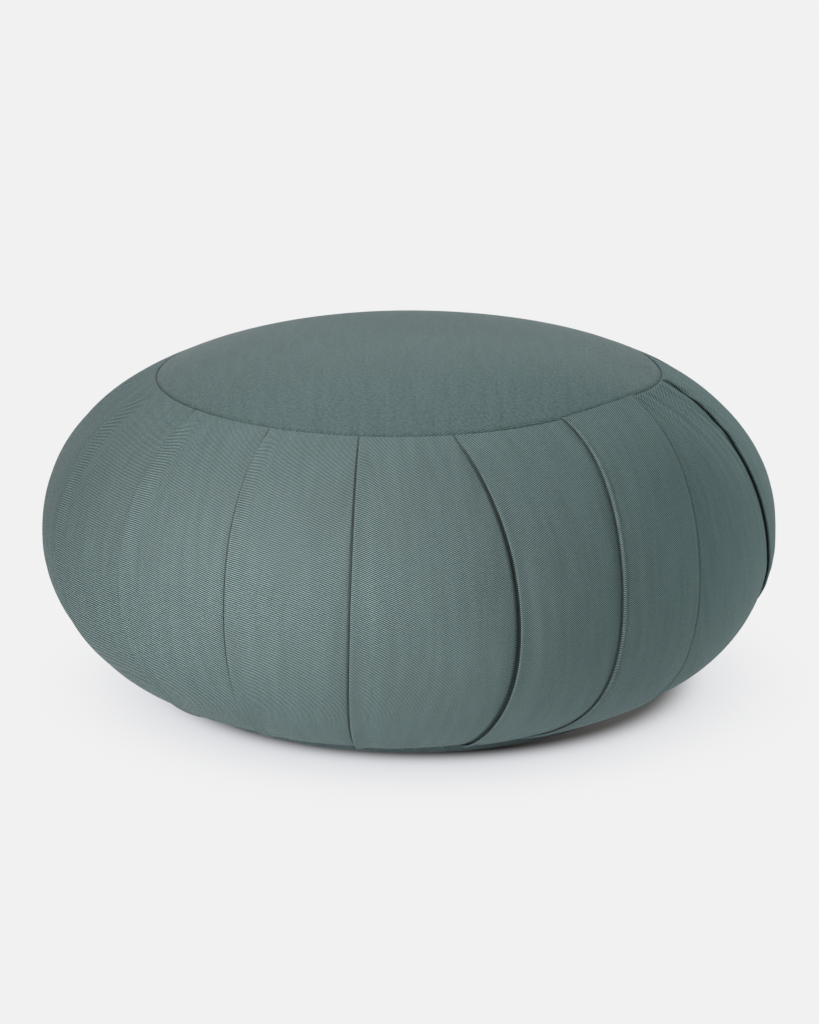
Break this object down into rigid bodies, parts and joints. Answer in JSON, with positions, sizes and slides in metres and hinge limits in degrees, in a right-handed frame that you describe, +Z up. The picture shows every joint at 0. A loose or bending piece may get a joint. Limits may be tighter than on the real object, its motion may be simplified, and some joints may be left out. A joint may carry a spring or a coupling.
{
  "type": "zafu meditation cushion",
  "caption": "Round, firmly filled floor cushion with a knife-pleated side band, crowned top panel, flat base panel and a plain strip sewn over the band's join.",
  "frame": {"origin": "centre of the flat base, on the surface that the cushion rests on", "axes": "+Z up, -Y towards the front, +X towards the side that carries the sewn strip"},
  "size_m": [0.3511, 0.3506, 0.1687],
  "materials": {
    "band_twill": "matte cotton twill",
    "panel_twill": "matte cotton twill"
  },
  "bodies": {
    "root": {"filled_pleated_band": "band_twill", "top_panel": "panel_twill", "bottom_panel": "panel_twill", "sewn_strip": "band_twill"}
  },
  "joints": []
}
